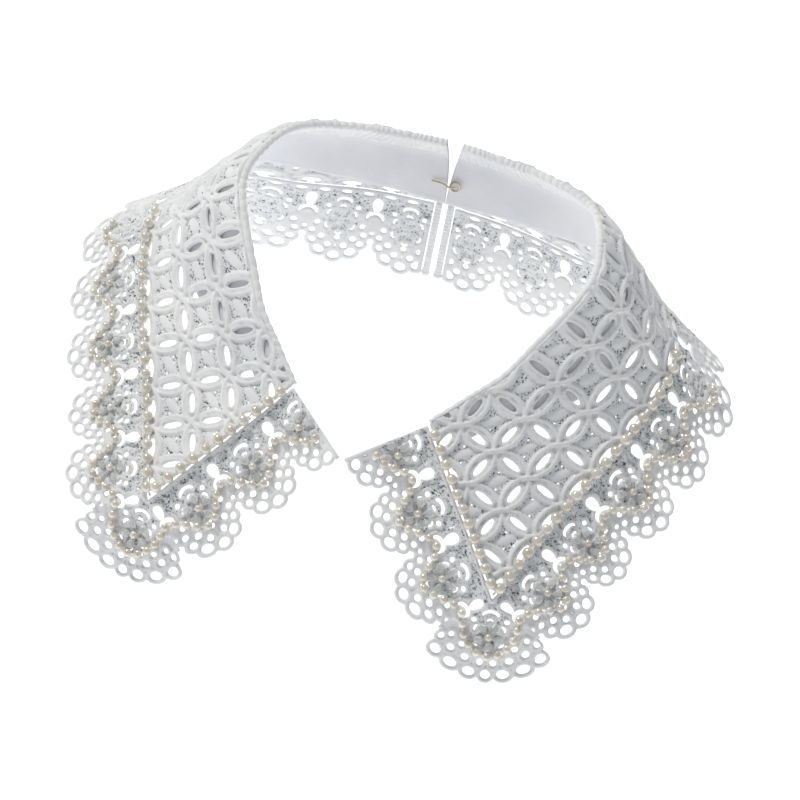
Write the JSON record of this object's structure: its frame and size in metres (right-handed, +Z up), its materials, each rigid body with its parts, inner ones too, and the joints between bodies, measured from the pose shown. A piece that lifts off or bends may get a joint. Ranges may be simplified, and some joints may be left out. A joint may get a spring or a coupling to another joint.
{
  "type": "detachable pointed lace collar",
  "caption": "Worn-form detachable lace collar with pointed fronts, scalloped edging, pearl lines and a back hook and eye.",
  "frame": {"origin": "centre of the neck opening, level with the point where the front ends meet", "axes": "+Z up, -Y to the wearer's front, +X to the wearer's left"},
  "size_m": [0.2394, 0.1471, 0.1132],
  "materials": {
    "lace_body_left": "white cotton guipure lace with silver thread net",
    "lace_body_right": "white cotton guipure lace with silver thread net",
    "scalloped_edging_left": "white cotton guipure lace edging",
    "scalloped_edging_right": "white cotton guipure lace edging",
    "facing_band_left": "white cotton sateen",
    "facing_band_right": "white cotton sateen",
    "turned_edge_left": "turned lace edge, stitched",
    "turned_edge_right": "turned lace edge, stitched",
    "back_binding_left": "corded white cotton binding",
    "back_binding_right": "corded white cotton binding",
    "inner_pearl_line_left": "cream glass pearls",
    "inner_pearl_line_right": "cream glass pearls",
    "outer_pearl_line_left": "cream glass pearls",
    "outer_pearl_line_right": "cream glass pearls",
    "hook": "bent wire",
    "eye": "bent wire"
  },
  "bodies": {
    "root": {"lace_body_left": "lace_body_left", "lace_body_right": "lace_body_right", "scalloped_edging_left": "scalloped_edging_left", "scalloped_edging_right": "scalloped_edging_right", "facing_band_left": "facing_band_left", "facing_band_right": "facing_band_right", "turned_edge_left": "turned_edge_left", "turned_edge_right": "turned_edge_right", "back_binding_left": "back_binding_left", "back_binding_right": "back_binding_right", "inner_pearl_line_left": "inner_pearl_line_left", "inner_pearl_line_right": "inner_pearl_line_right", "outer_pearl_line_left": "outer_pearl_line_left", "outer_pearl_line_right": "outer_pearl_line_right", "hook": "hook", "eye": "eye"}
  },
  "joints": []
}
